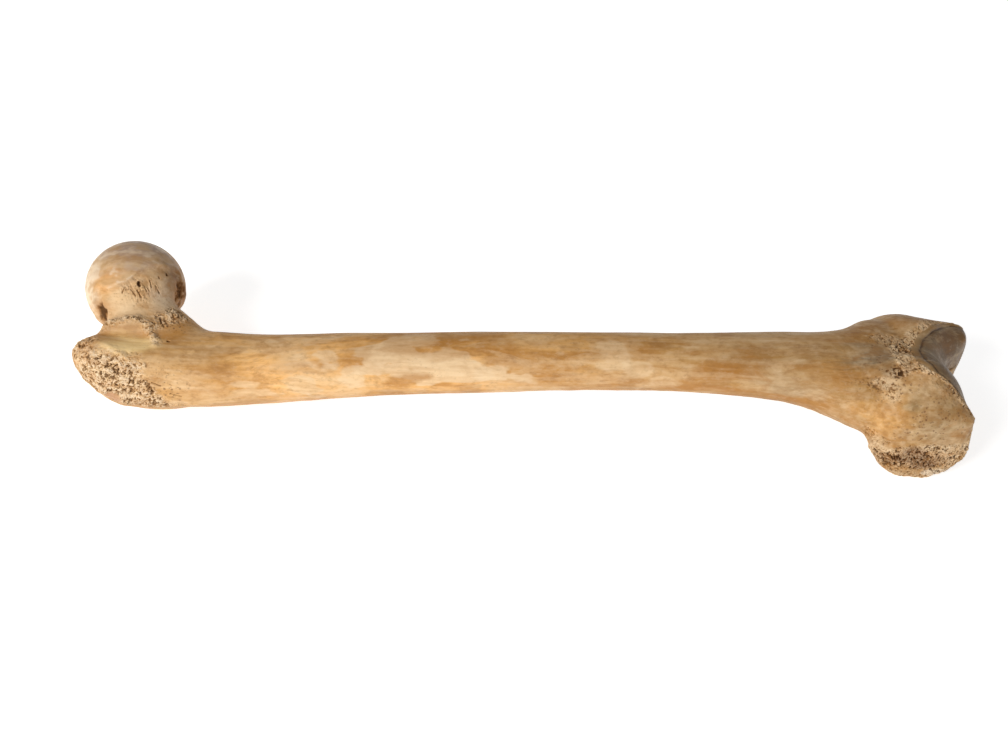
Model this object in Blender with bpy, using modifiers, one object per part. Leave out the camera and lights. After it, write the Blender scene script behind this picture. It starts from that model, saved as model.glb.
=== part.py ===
"""A human right femur at life size, lying on its back as it rests on a table.

It is modelled whole, from a lofted shaft, neck, trochanter and knee block fused into one
skin, then parted by thin cuts into the regions that an anatomist would name and laid on its
three lowest points. Sizes are in millimetres until loft() and the other makers turn them
into metres. While it is modelled x runs from the greater trochanter's tip (0) towards the
knee, y runs to the medial side and z to the front, with the floor at z 0.
"""

import math

import bmesh
import bpy
import numpy as np
from mathutils import Matrix, Vector

MM = 0.001

# Driving dimensions
HEAD_DIAMETER = 49.0
HEAD_CENTRE = Vector((24.0, 44.3, 40.8))
HEAD_OVALITY = 0.97
HEAD_MARGIN = 16.5
HEAD_LIP_BACK = 13.0
HEAD_LIP_RADIUS = 19.6
FOVEA_DIAMETER = 13.0
BICONDYLAR_ANGLE = math.radians(9.0)
KNEE_AXIS = (419.0, 30.5)
NOTCH_CENTRE_Y = 0.5
SHAFT_END = 396.0

# How far along the resting points of each end are looked for
HIP_REACH = 120.0
KNEE_REACH = 380.0

# How finely the stock is made and how the skin is fused from it
RING_POINTS = 56
OUTLINE_POINTS = 64
VOXEL = 1.3
SMOOTHING_PASSES = 12
SKIN_TRIANGLES = 11000
CUT_WIDTH = 0.3

# The shaft: x, centre y, centre z, width, depth, squareness, narrowing to the front
SHAFT_STATIONS = (
    (24.0, -1.0, 25.5, 30.0, 36.0, 2.2, 0.00),
    (45.0, 0.5, 26.0, 37.0, 35.0, 2.2, 0.00),
    (65.0, 1.0, 26.8, 38.5, 33.0, 2.2, 0.00),
    (88.0, 0.8, 28.2, 35.0, 31.0, 2.1, 0.00),
    (134.0, -1.3, 34.0, 33.0, 30.0, 2.0, 0.00),
    (161.0, -2.0, 36.8, 31.3, 29.5, 2.0, 0.00),
    (210.0, -2.1, 40.0, 29.7, 29.3, 2.0, 0.00),
    (258.0, -1.6, 42.0, 28.6, 28.0, 2.0, 0.00),
    (298.0, -1.2, 42.5, 31.0, 27.2, 2.0, 0.00),
    (325.0, -1.0, 42.4, 34.5, 27.5, 2.1, 0.02),
    (352.0, -1.2, 41.8, 39.4, 29.5, 2.2, 0.06),
    (368.0, -2.7, 40.8, 45.4, 33.0, 2.3, 0.12),
    (384.0, -2.7, 38.8, 57.8, 37.0, 2.4, 0.16),
    (395.0, 0.2, 37.2, 70.2, 39.5, 2.4, 0.17),
    (407.0, 2.0, 36.8, 73.0, 37.4, 2.4, 0.22),
)

# Raised lines down the back of the shaft: x, direction in degrees, height
LATERAL_LIP = (
    (58.0, 226.0, 0.0),
    (88.0, 236.0, 1.6),
    (130.0, 254.0, 2.6),
    (220.0, 267.0, 2.8),
    (300.0, 262.0, 1.6),
    (345.0, 248.0, 1.0),
    (392.0, 232.0, 0.0),
)
MEDIAL_LIP = (
    (66.0, 322.0, 0.0),
    (95.0, 304.0, 1.2),
    (135.0, 281.0, 1.8),
    (220.0, 273.0, 2.4),
    (300.0, 278.0, 1.4),
    (345.0, 292.0, 0.9),
    (392.0, 308.0, 0.0),
)
LIP_SPREAD = 11.0

# The neck: centre, half height, half depth and how far its plane has turned to the neck's
NECK_STATIONS = (
    ((56.0, -5.0, 27.0), 35.0, 13.0, 0.0),
    ((49.5, 5.0, 28.8), 31.5, 13.6, 0.2),
    ((40.4, 14.5, 31.8), 24.4, 13.8, 0.5),
    ((32.1, 24.5, 35.0), 19.6, 13.8, 0.85),
    ((28.0, 32.0, 37.4), 17.6, 14.2, 1.0),
    ((25.8, 38.5, 39.2), 16.4, 15.2, 1.0),
)

# The greater trochanter: x, centre y, centre z, half thickness, half depth
TROCHANTER_STATIONS = (
    (2.0, 1.6, 31.0, 3.0, 6.0),
    (5.0, 2.0, 30.0, 7.0, 10.8),
    (10.5, 2.0, 28.6, 11.0, 15.2),
    (18.0, 0.2, 26.2, 14.0, 19.2),
    (28.0, -1.0, 24.4, 14.1, 20.9),
    (38.0, -1.7, 23.8, 14.7, 20.6),
    (50.0, -1.6, 25.0, 16.3, 19.0),
    (62.0, -0.6, 26.5, 17.0, 16.5),
)
TROCHANTER_TURN = math.radians(13.0)

# Side outlines of the knee block from the lateral face (negative) to the medial one: how far
# the slice is from the notch's middle, then radii from the knee axis every 30 degrees, with
# 0 at the joint, 90 in front, 180 towards the shaft and 270 behind
KNEE_SLICES = (
    (-41.5, (2, 2, 2, 2, 2, 2, 2, 2, 2, 2, 2, 2)),
    (-40.5, (13, 12, 8, 7, 8, 9, 10, 10, 12.5, 15.5, 16, 15)),
    (-38.5, (20.6, 20, 14.5, 12.5, 14, 17, 19, 18.5, 22.5, 25.6, 27.4, 25.4)),
    (-35.0, (24.2, 23.8, 19, 18, 20.5, 23, 25, 23.5, 26.8, 29.0, 30.8, 28.8)),
    (-30.0, (24.0, 23.9, 22, 22.5, 25, 28, 28, 25.5, 28, 29.9, 30.4, 28)),
    (-24.0, (22.8, 22.8, 24, 28, 30, 31, 29, 26, 28.5, 30.2, 29, 25.4)),
    (-17.0, (22.2, 22.2, 24.8, 30.5, 32.5, 33, 29, 25.5, 28, 30, 28.2, 24.4)),
    (-9.0, (18.8, 18.8, 20.8, 26, 29.5, 30, 28, 25, 26, 27, 24, 20)),
    (0.0, (16, 16.5, 18.8, 23.6, 27, 27, 28, 24, 24, 24, 20, 17)),
    (8.0, (20, 19.6, 20.4, 24.4, 27.5, 28, 28, 25, 26, 27, 25, 22)),
    (16.0, (25.4, 25.6, 23.8, 26.8, 28.5, 29, 29, 26, 28, 29.8, 28.2, 26)),
    (23.0, (28, 29.6, 24, 24, 27, 29, 30, 26.5, 28.3, 30.2, 29, 27.6)),
    (29.0, (27.6, 28, 20.8, 19.8, 24, 28.5, 31, 27, 27.5, 29, 28.2, 27)),
    (34.5, (21.5, 19, 15.5, 15.2, 20, 26, 30, 26, 25, 25.5, 24.5, 22.5)),
    (39.0, (13.5, 12, 10, 10, 14, 20, 25, 22, 19, 17.5, 16, 14.5)),
    (41.5, (7, 6, 5, 5, 7, 12, 15, 13, 11, 9, 8, 7.5)),
    (42.5, (2, 2, 2, 2, 2, 2, 2, 2, 2, 2, 2, 2)),
)

# The notch between the condyles: x, roof height, half width
NOTCH_STATIONS = (
    (382.0, 8.0, 8.0),
    (396.0, 15.5, 9.5),
    (408.0, 20.5, 10.5),
    (418.0, 25.5, 10.8),
    (427.0, 31.0, 10.8),
    (434.0, 36.0, 10.8),
    (442.0, 43.0, 10.8),
    (452.0, 53.0, 10.8),
)

# Where the upper regions part: a point on the cut, the way to the piece, and how deep, wide
# and high the piece's box is
PARTINGS = (
    ("greater_trochanter", (29.0, -5.5, 25.0), (-0.740, -0.673, 0.0), (80.0, 120.0, 100.0)),
    ("neck", (38.0, 16.2, 30.0), (-0.158, 0.987, 0.0), (60.0, 120.0, 100.0)),
    ("lesser_trochanter", (76.0, 12.0, 14.4), (0.0, 0.65, -0.76), (20.0, 32.0, 24.0)),
)

# Colour and roughness of each region's dry bone
COLOURS = {
    "head": ((0.50, 0.40, 0.29), 0.42),
    "neck": ((0.62, 0.50, 0.34), 0.50),
    "greater_trochanter": ((0.52, 0.37, 0.20), 0.62),
    "lesser_trochanter": ((0.50, 0.35, 0.19), 0.60),
    "shaft": ((0.55, 0.37, 0.18), 0.45),
    "lateral_condyle": ((0.46, 0.33, 0.18), 0.60),
    "medial_condyle": ((0.42, 0.31, 0.19), 0.52),
}
SHARP_ANGLE = math.radians(50.0)


def smooth_curve(knots, values, at):
    """A smooth curve through the values at the knots, by cubic Hermite pieces."""
    knots = np.asarray(knots, float)
    values = np.asarray(values, float)
    at = min(max(at, knots[0]), knots[-1])
    slopes = np.gradient(values, knots)
    i = min(max(int(np.searchsorted(knots, at)) - 1, 0), len(knots) - 2)
    span = knots[i + 1] - knots[i]
    t = (at - knots[i]) / span
    return float(
        values[i] * (2 * t**3 - 3 * t**2 + 1)
        + values[i + 1] * (3 * t**2 - 2 * t**3)
        + slopes[i] * span * (t**3 - 2 * t**2 + t)
        + slopes[i + 1] * span * (t**3 - t**2)
    )


def round_curve(radii, degrees):
    """A closed smooth curve through radii spaced evenly round a full turn."""
    count = len(radii)
    place = (degrees % 360.0) / 360.0 * count
    i = int(place)
    t = place - i
    before, start, end, after = (radii[(i + k) % count] for k in (-1, 0, 1, 2))
    return 0.5 * (
        2 * start
        + (end - before) * t
        + (2 * before - 5 * start + 4 * end - after) * t**2
        + (3 * start - before - 3 * end + after) * t**3
    )


def loft(name, rings):
    """One closed skin through rings that all have the same number of points."""
    mesh = bmesh.new()
    rows = [[mesh.verts.new(Vector(point) * MM) for point in ring] for ring in rings]
    for near, far in zip(rows, rows[1:]):
        for i, corner in enumerate(near):
            j = (i + 1) % len(near)
            mesh.faces.new((corner, near[j], far[j], far[i]))
    mesh.faces.new(rows[0])
    mesh.faces.new(rows[-1])
    bmesh.ops.triangulate(mesh, faces=[f for f in mesh.faces if len(f.verts) > 4])
    bmesh.ops.recalc_face_normals(mesh, faces=mesh.faces)
    data = bpy.data.meshes.new(name)
    mesh.to_mesh(data)
    mesh.free()
    return bpy.data.objects.new(name, data)


def ellipsoid(name, centre, radii, turn=(0.0, 0.0, 0.0)):
    """A closed ball with its own radius along each axis, turned by degrees about x, y, z."""
    mesh = bmesh.new()
    bmesh.ops.create_uvsphere(mesh, u_segments=48, v_segments=24, radius=1.0)
    stretch = Matrix.Diagonal((*(r * MM for r in radii), 1.0))
    angles = [math.radians(a) for a in turn]
    spin = (
        Matrix.Rotation(angles[2], 4, "Z")
        @ Matrix.Rotation(angles[1], 4, "Y")
        @ Matrix.Rotation(angles[0], 4, "X")
    )
    mesh.transform(Matrix.Translation(Vector(centre) * MM) @ spin @ stretch)
    data = bpy.data.meshes.new(name)
    mesh.to_mesh(data)
    mesh.free()
    return bpy.data.objects.new(name, data)


def ridge(name, points, radii):
    """A rounded ridge: a tube along a smooth line, its own radius at each point."""
    spots = [Vector(p) for p in points]
    steps = np.linspace(0, len(spots) - 1, 8 * (len(spots) - 1) + 1)
    knots = list(range(len(spots)))
    line = [
        Vector([smooth_curve(knots, [s[k] for s in spots], t) for k in range(3)]) for t in steps
    ]
    rings = []
    for i, spot in enumerate(line):
        along = (line[min(i + 1, len(line) - 1)] - line[max(i - 1, 0)]).normalized()
        side = along.cross(Vector((0.0, 0.0, 1.0)))
        side = (side if side.length > 0.1 else along.cross(Vector((0.0, 1.0, 0.0)))).normalized()
        up = side.cross(along)
        radius = smooth_curve(knots, radii, steps[i])
        turns = [2 * math.pi * k / 12 for k in range(12)]
        rings.append([spot + radius * (math.cos(a) * side + math.sin(a) * up) for a in turns])
    return loft(name, rings)


def shaft():
    """The body of the bone, bowed to the front, with the linea aspera down its back."""
    table = np.array(SHAFT_STATIONS)
    rings = []
    for x in np.linspace(table[0, 0], table[-1, 0], 110):
        y, z, width, depth, square, narrowing = (
            smooth_curve(table[:, 0], table[:, k], x) for k in range(1, 7)
        )
        ring = []
        for k in range(RING_POINTS):
            turn = 2 * math.pi * k / RING_POINTS
            c, s = math.cos(turn), math.sin(turn)
            across = width / 2 * math.copysign(abs(c) ** (2 / square), c)
            upward = depth / 2 * math.copysign(abs(s) ** (2 / square), s)
            across *= 1 - narrowing * upward / (depth / 2)
            raised = 0.0
            for lip in (LATERAL_LIP, MEDIAL_LIP):
                at = [row[0] for row in lip]
                direction = smooth_curve(at, [row[1] for row in lip], x)
                height = smooth_curve(at, [row[2] for row in lip], x)
                off = (math.degrees(turn) - direction) / LIP_SPREAD
                inside = at[0] <= x <= at[-1]
                raised += height * math.exp(-off * off) if inside else 0.0
            ring.append((x, y + across + raised * c, z + upward + raised * s))
        rings.append(ring)
    return loft("shaft_stock", rings)


def neck_direction():
    """The way the neck points, from its middle to the head's centre."""
    return (HEAD_CENTRE - Vector(NECK_STATIONS[3][0])).normalized()


def neck():
    """The neck, fanning out from the head to its wide root along the shaft's inner side."""
    knots = list(range(len(NECK_STATIONS)))
    rings = []
    for t in np.linspace(0, len(NECK_STATIONS) - 1, 26):
        centre = Vector(
            [smooth_curve(knots, [s[0][k] for s in NECK_STATIONS], t) for k in range(3)]
        )
        half_height, half_depth, turned = (
            smooth_curve(knots, [s[k] for s in NECK_STATIONS], t) for k in (1, 2, 3)
        )
        turned = min(max(turned, 0.0), 1.0)
        normal = Vector((0.0, 1.0, 0.0)).lerp(neck_direction(), turned).normalized()
        front = (Vector((0.0, 0.0, 1.0)) - normal * normal.z).normalized()
        down = normal.cross(front)
        ring = []
        for k in range(RING_POINTS):
            turn = 2 * math.pi * k / RING_POINTS
            across, upward = half_height * math.cos(turn), half_depth * math.sin(turn)
            ring.append(centre + down * across + front * upward)
        rings.append(ring)
    return loft("neck_stock", rings)


def greater_trochanter():
    """The broad plate at the top of the outer side, turned with the neck."""
    table = np.array(TROCHANTER_STATIONS)
    lean = (math.cos(TROCHANTER_TURN), math.sin(TROCHANTER_TURN))
    rings = []
    for x in np.linspace(table[0, 0], table[-1, 0], 40):
        y, z, thin, deep = (smooth_curve(table[:, 0], table[:, k], x) for k in range(1, 5))
        ring = []
        for k in range(RING_POINTS):
            turn = 2 * math.pi * k / RING_POINTS
            across, upward = thin * math.cos(turn), deep * math.sin(turn)
            turned_y = across * lean[0] - upward * lean[1]
            turned_z = across * lean[1] + upward * lean[0]
            ring.append((x, y + turned_y, z + turned_z))
        rings.append(ring)
    return loft("trochanter_stock", rings)


def slant(x, y):
    """The knee end is square to the thigh's load line, so it leans by the bicondylar angle."""
    return x + (y - NOTCH_CENTRE_Y) * math.tan(BICONDYLAR_ANGLE)


def knee_block():
    """Both condyles and the patellar surface in front of them, before the notch is cut."""
    offsets = [row[0] for row in KNEE_SLICES]
    rings = []
    for off in np.linspace(offsets[0], offsets[-1], 75):
        radii = [
            smooth_curve(offsets, [row[1][k] for row in KNEE_SLICES], off) for k in range(12)
        ]
        ring = []
        for k in range(OUTLINE_POINTS):
            degrees = 360.0 * k / OUTLINE_POINTS
            radius = max(round_curve(radii, degrees), 0.5)
            x = KNEE_AXIS[0] + radius * math.cos(math.radians(degrees))
            z = KNEE_AXIS[1] + radius * math.sin(math.radians(degrees))
            y = NOTCH_CENTRE_Y + off
            ring.append((slant(x, y), y, z))
        rings.append(ring)
    return loft("knee_stock", rings)


def head():
    """The ball, a touch flattened from front to back."""
    radius = HEAD_DIAMETER / 2
    return ellipsoid("head_stock", HEAD_CENTRE, (radius, radius, radius * HEAD_OVALITY))


def head_lip():
    """The proud edge of the ball on its upper side, where the joint surface ends."""
    along = neck_direction()
    front = (Vector((0.0, 0.0, 1.0)) - along * along.z).normalized()
    above = front.cross(along)
    middle = HEAD_CENTRE - along * HEAD_LIP_BACK
    turns = [math.radians(a) for a in (-70, -35, 0, 35, 70)]
    points = [
        middle + HEAD_LIP_RADIUS * (above * math.cos(a) + front * math.sin(a)) for a in turns
    ]
    return ridge("head_lip_stock", points, (0.8, 2.2, 2.6, 2.2, 0.8))


def small_forms():
    """The bumps and ridges where muscles and ligaments were fixed."""
    return [
        ellipsoid("lesser_trochanter_stock", (76.0, 12.5, 15.5), (14.0, 8.0, 8.0), (0, 0, 12)),
        ridge(
            "intertrochanteric_crest_stock",
            (
                (10.0, -1.0, 19.0),
                (24.0, 0.5, 11.5),
                (38.0, 3.5, 8.5),
                (54.0, 8.5, 10.0),
                (72.0, 12.0, 14.5),
            ),
            (4.0, 8.0, 7.8, 6.5, 5.5),
        ),
        ridge(
            "intertrochanteric_line_stock",
            ((14.0, 10.0, 36.5), (26.0, 13.0, 41.0), (42.0, 12.0, 40.0), (60.0, 13.5, 33.5)),
            (5.0, 6.8, 6.2, 5.0),
        ),
        ridge(
            "calcar_stock",
            (
                (47.0, 21.5, 31.5),
                (60.0, 17.6, 29.5),
                (74.0, 15.8, 29.0),
                (90.0, 13.3, 30.0),
                (106.0, 9.5, 31.5),
            ),
            (5.0, 6.2, 6.2, 5.6, 4.5),
        ),
        ellipsoid("adductor_tubercle_stock", (403.0, 34.0, 32.0), (10.0, 5.0, 7.0)),
        ridge(
            "patellar_rim_stock",
            ((360.0, -9.0, 44.0), (378.0, -12.0, 46.5), (394.0, -13.8, 49.6), (408.0, -14.5, 52.2)),
            (7.0, 9.2, 10.0, 9.0),
        ),
        head_lip(),
    ]


def cutters():
    """The notch between the condyles, the pit in the head and the pit behind the neck."""
    table = np.array(NOTCH_STATIONS)
    rings = []
    for x in np.linspace(table[0, 0], table[-1, 0], 30):
        roof, half = (smooth_curve(table[:, 0], table[:, k], x) for k in (1, 2))
        ring = []
        for k in range(17):
            turn = math.pi * k / 16
            y = NOTCH_CENTRE_Y + half * math.cos(turn)
            ring.append((slant(x, y), y, roof - half * (1 - math.sin(turn))))
        for y in (NOTCH_CENTRE_Y - half, NOTCH_CENTRE_Y + half):
            ring.append((slant(x, y), y, -40.0))
        rings.append(ring)
    notch = loft("notch_cutter", rings)
    fovea_direction = (neck_direction() + Vector((0.25, 0.0, -0.25))).normalized()
    pit = HEAD_CENTRE + fovea_direction * (HEAD_DIAMETER / 2 + 3.0)
    fovea = ellipsoid("fovea_cutter", pit, (FOVEA_DIAMETER / 2,) * 3)
    fossa = ellipsoid("fossa_cutter", (17.0, 15.0, 15.0), (12.0, 9.0, 8.0), (0, 0, -20))
    return [notch, fovea, fossa]


def fused_skin():
    """Joins the stock, takes the cutters away and draws one smooth skin over the rest."""
    stock = bpy.data.collections.new("stock")
    cuts = bpy.data.collections.new("cuts")
    for collection in (stock, cuts):
        bpy.context.scene.collection.children.link(collection)
    for piece in [neck(), greater_trochanter(), head(), knee_block()] + small_forms():
        stock.objects.link(piece)
    for piece in cutters():
        cuts.objects.link(piece)
    body = shaft()
    bpy.context.scene.collection.objects.link(body)
    # The stock is closed and dense, which the manifold solver joins far faster than the exact one
    for operation, collection in (("UNION", stock), ("DIFFERENCE", cuts)):
        join = body.modifiers.new(operation.lower(), "BOOLEAN")
        join.operation = operation
        join.operand_type = "COLLECTION"
        join.collection = collection
        join.solver = "MANIFOLD"
    remesh = body.modifiers.new("skin", "REMESH")
    remesh.mode = "VOXEL"
    remesh.voxel_size = VOXEL * MM
    relax = body.modifiers.new("relax", "SMOOTH")
    relax.factor = 0.5
    relax.iterations = SMOOTHING_PASSES
    skin = evaluated(body)
    for collection in (stock, cuts):
        for piece in list(collection.objects):
            bpy.data.objects.remove(piece)
        bpy.data.collections.remove(collection)
    bpy.data.objects.remove(body)
    return skin


def evaluated(item):
    """The object's mesh with its modifiers applied, in triangles."""
    bpy.context.view_layer.update()
    graph = bpy.context.evaluated_depsgraph_get()
    data = bpy.data.meshes.new_from_object(item.evaluated_get(graph))
    mesh = bmesh.new()
    mesh.from_mesh(data)
    bmesh.ops.triangulate(mesh, faces=mesh.faces)
    mesh.to_mesh(data)
    mesh.free()
    return data


def thinned(skin):
    """The same skin with about as many triangles as SKIN_TRIANGLES."""
    item = bpy.data.objects.new("thinned", skin)
    bpy.context.scene.collection.objects.link(item)
    fewer = item.modifiers.new("fewer", "DECIMATE")
    fewer.ratio = SKIN_TRIANGLES / len(skin.polygons)
    data = evaluated(item)
    bpy.data.objects.remove(item)
    return largest_surface(data)


def largest_surface(data):
    """Drops every loose scrap and keeps the closed surface with the most faces."""
    mesh = bmesh.new()
    mesh.from_mesh(data)
    left = set(mesh.faces)
    islands = []
    while left:
        island, edge_of_growth = set(), [next(iter(left))]
        while edge_of_growth:
            face = edge_of_growth.pop()
            if face in left:
                left.remove(face)
                island.add(face)
                edge_of_growth += [near for e in face.edges for near in e.link_faces]
        islands.append(island)
    biggest = max(islands, key=len)
    scraps = [face for face in mesh.faces if face not in biggest]
    bmesh.ops.delete(mesh, geom=scraps, context="FACES")
    mesh.to_mesh(data)
    mesh.free()
    return data


def parting_box(place, toward, sizes, grown):
    """A box with one face on the cut: it reaches from there towards the piece it takes."""
    depth, width, height = sizes
    mesh = bmesh.new()
    bmesh.ops.create_cube(mesh, size=1.0)
    toward = Vector(toward).normalized()
    up = (Vector((0.0, 0.0, 1.0)) - toward * toward.z).normalized()
    across = up.cross(toward)
    axes = Matrix((toward, across, up)).transposed().to_4x4()
    stretch = Matrix.Diagonal((*((s + 2 * grown) * MM for s in (depth, width, height)), 1.0))
    middle = Matrix.Translation((Vector(place) + toward * depth / 2) * MM)
    mesh.transform(middle @ axes @ stretch)
    data = bpy.data.meshes.new("parting_box")
    mesh.to_mesh(data)
    mesh.free()
    item = bpy.data.objects.new("parting_box", data)
    bpy.context.scene.collection.objects.link(item)
    return item


def part_off(data, place, toward, sizes):
    """Splits a solid into what lies inside a box and the rest, with a thin gap between."""
    halves = []
    for operation, grown in (("INTERSECT", 0.0), ("DIFFERENCE", CUT_WIDTH)):
        item = bpy.data.objects.new("half", data)
        bpy.context.scene.collection.objects.link(item)
        box = parting_box(place, toward, sizes, grown)
        cut = item.modifiers.new("cut", "BOOLEAN")
        cut.operation = operation
        cut.object = box
        cut.solver = "MANIFOLD"
        halves.append(largest_surface(evaluated(item)))
        bpy.data.objects.remove(item)
        bpy.data.objects.remove(box)
    return halves


def regions(skin):
    """The bone's regions by name, parted one after another from the whole skin."""
    margin = HEAD_CENTRE - neck_direction() * HEAD_MARGIN
    found = {}
    found["head"], rest = part_off(skin, margin, neck_direction(), (60.0, 60.0, 60.0))
    for name, place, toward, sizes in PARTINGS:
        found[name], rest = part_off(rest, place, toward, sizes)
    knee = (SHAFT_END, 0.0, 30.0)
    condyles, found["shaft"] = part_off(rest, knee, (1.0, 0.0, 0.0), (120.0, 140.0, 120.0))
    middle = (SHAFT_END, NOTCH_CENTRE_Y, 30.0)
    found["medial_condyle"], found["lateral_condyle"] = part_off(
        condyles, middle, (0.0, 1.0, 0.0), (80.0, 160.0, 120.0)
    )
    return found


def resting_turn(points):
    """The small turn that brings the two condyles and the trochanter down level."""
    turn = Matrix.Identity(3)
    near_hip = points[:, 0] < HIP_REACH * MM
    near_knee = points[:, 0] > KNEE_REACH * MM
    lateral, medial = near_knee & (points[:, 1] < 0), near_knee & (points[:, 1] > 0)
    for _ in range(4):
        now = points @ np.array(turn).T
        feet = [
            Vector(now[chosen][np.argmin(now[chosen, 2])])
            for chosen in (near_hip, lateral, medial)
        ]
        normal = (feet[1] - feet[0]).cross(feet[2] - feet[0]).normalized()
        normal = normal if normal.z > 0 else -normal
        turn = normal.rotation_difference(Vector((0.0, 0.0, 1.0))).to_matrix() @ turn
    return turn


def laid_down(found):
    """Turns the regions onto their three lowest points, with the origin under their middle."""
    points = np.array([v.co for data in found.values() for v in data.vertices])
    turn = resting_turn(points)
    turned = points @ np.array(turn).T
    low, high = turned.min(axis=0), turned.max(axis=0)
    origin = Vector(((low[0] + high[0]) / 2, (low[1] + high[1]) / 2, low[2]))
    for data in found.values():
        data.transform(Matrix.Translation(-origin) @ turn.to_4x4())


def bone_material(name):
    """Dry bone in the colour of its region."""
    colour, roughness = COLOURS[name]
    material = bpy.data.materials.new(f"{name}_bone")
    material.use_nodes = True
    shader = material.node_tree.nodes["Principled BSDF"]
    shader.inputs["Base Color"].default_value = (*colour, 1.0)
    shader.inputs["Roughness"].default_value = roughness
    shader.inputs["Metallic"].default_value = 0.0
    return material


def main():
    for item in list(bpy.data.objects):
        bpy.data.objects.remove(item)
    femur = bpy.data.collections.new("femur")
    bpy.context.scene.collection.children.link(femur)
    found = regions(thinned(fused_skin()))
    laid_down(found)
    for name, data in found.items():
        data.name = name
        data.shade_smooth()
        data.set_sharp_from_angle(angle=SHARP_ANGLE)
        data.materials.clear()
        data.materials.append(bone_material(name))
        femur.objects.link(bpy.data.objects.new(name, data))


if __name__ == "__main__":
    main()
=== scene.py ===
"""A dry human right femur lying on a pale table, as a museum shows one.

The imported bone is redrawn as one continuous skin, so that none of its partings shows. Masks on
that skin say where it is smooth joint surface, open spongy bone, bleached or stained, and the
material grows its grain, mottling and fine pores from them. Sizes are in millimetres in the
bone's own frame until they reach a mesh: x runs to the knee, y to the medial side, z up.
"""

import itertools
import math

import bmesh
import bpy
import numpy as np
from mathutils import Matrix, Vector
from mathutils.kdtree import KDTree


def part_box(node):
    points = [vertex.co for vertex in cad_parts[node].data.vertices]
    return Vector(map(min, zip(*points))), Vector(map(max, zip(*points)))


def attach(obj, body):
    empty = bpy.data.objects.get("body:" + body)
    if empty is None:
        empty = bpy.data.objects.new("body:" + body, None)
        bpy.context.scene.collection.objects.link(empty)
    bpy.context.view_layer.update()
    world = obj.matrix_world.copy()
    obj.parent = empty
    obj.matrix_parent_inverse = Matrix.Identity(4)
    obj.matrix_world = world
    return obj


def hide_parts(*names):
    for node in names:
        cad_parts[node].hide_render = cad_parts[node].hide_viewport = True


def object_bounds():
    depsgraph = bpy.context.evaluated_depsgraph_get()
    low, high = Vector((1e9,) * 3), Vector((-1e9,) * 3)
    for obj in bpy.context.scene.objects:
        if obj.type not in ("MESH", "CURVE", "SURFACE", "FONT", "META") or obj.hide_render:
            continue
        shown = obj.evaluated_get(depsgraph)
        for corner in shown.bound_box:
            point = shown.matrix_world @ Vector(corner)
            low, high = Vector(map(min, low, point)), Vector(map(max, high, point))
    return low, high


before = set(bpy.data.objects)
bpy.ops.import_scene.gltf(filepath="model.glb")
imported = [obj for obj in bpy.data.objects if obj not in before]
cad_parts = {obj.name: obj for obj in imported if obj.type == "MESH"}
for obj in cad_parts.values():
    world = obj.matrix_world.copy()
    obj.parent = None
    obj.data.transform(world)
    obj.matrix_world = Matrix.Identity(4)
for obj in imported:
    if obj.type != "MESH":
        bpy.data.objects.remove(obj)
CAD_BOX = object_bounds()

MM = 0.001

# How the skin is drawn: the regions grow until they overlap, and the skin shrinks back
GROWTH = 0.25
SHRINK_BACK = 0.10
WELD = 0.001
VOXEL = 0.5
SMOOTHING_PASSES = 46

# Faces are halved where more than this share of the wall is gone, and this near to a slit or hole
FINE_SHARE = 0.25
MARK_MARGIN = 2.0

# The web of open spongy bone: the way its struts run, their size and how deep its pits are
WEB_GRAIN = (0.6, -0.3, 0.7)
WEB_SIZE = 1.15
LARGE_PIT, FINE_PIT = 0.84, 0.32
CRUST_LARGE_PIT, CRUST_FINE_PIT = 0.60, 0.20

# Painted shade: a hollow this deep is fully dark in its colour
DARK_DEPTH = 1.1

# Bands beside a joint surface's edge: height, how far inside the edge, half width. Then the depth
# of the fine line inside the knee's edge.
HEAD_LIP = (0.45, 0.9, 1.2)
HEAD_GROOVE = (0.85, -2.4, 2.2)
KNEE_LIP = (0.45, 1.2, 1.5)
KNEE_LINE_DEPTH = 0.55

# Lengthwise ripples on the shaft's wall: height, size
FINE_RIPPLES = (0.11, (26.0, 2.6, 2.6))
BROAD_RIPPLES = (0.16, (34.0, 11.0, 11.0))
BACK_RIPPLES = (0.30, (9.0, 2.2, 2.2))

# How far apart the bays of a ragged edge are, along the bone and across it
EDGE_GRAIN = (17.0, 7.0, 7.0)

# Landmarks
HEAD_RADIUS = 24.5
HEAD_OVALITY = 0.97
NECK_DIRECTION = np.array((-0.392, 0.883, 0.259))
KNEE_AXIS_X, KNEE_AXIS_Z = 193.4, 30.5
NOTCH_Y = -13.1
KNEE_LEAN = math.tan(math.radians(9.0))
KNEE_START_X = 120.0

# The ball's joint surface ends this far below its middle along the neck, and less far in front
HEAD_EDGE, HEAD_EDGE_RISE = -10.5, 6.0

# The knee's joint surface: its radius, half the notch between its runners, and a value well off it
KNEE_REACH = 25.0
NOTCH_HALF_WIDTH = 11.5
OFF_JOINT = -30.0

# The camera, fitted to the photograph, whose picture is 1008 pixels wide and 756 high
PICTURE = (1008, 756)
CAMERA_TARGET = Vector((-5.0, -12.5, 35.0))
CAMERA_AZIMUTH, CAMERA_ELEVATION, CAMERA_ROLL = (math.radians(a) for a in (-4.578, 42.646, 4.864))
CAMERA_DISTANCE = 580.0
FOCAL_PIXELS = 1173.6
CENTRE_PIXEL = (523.1, 364.4)
SENSOR = 36.0
CLIP_NEAR, CLIP_FAR = 0.01, 60.0

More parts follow.
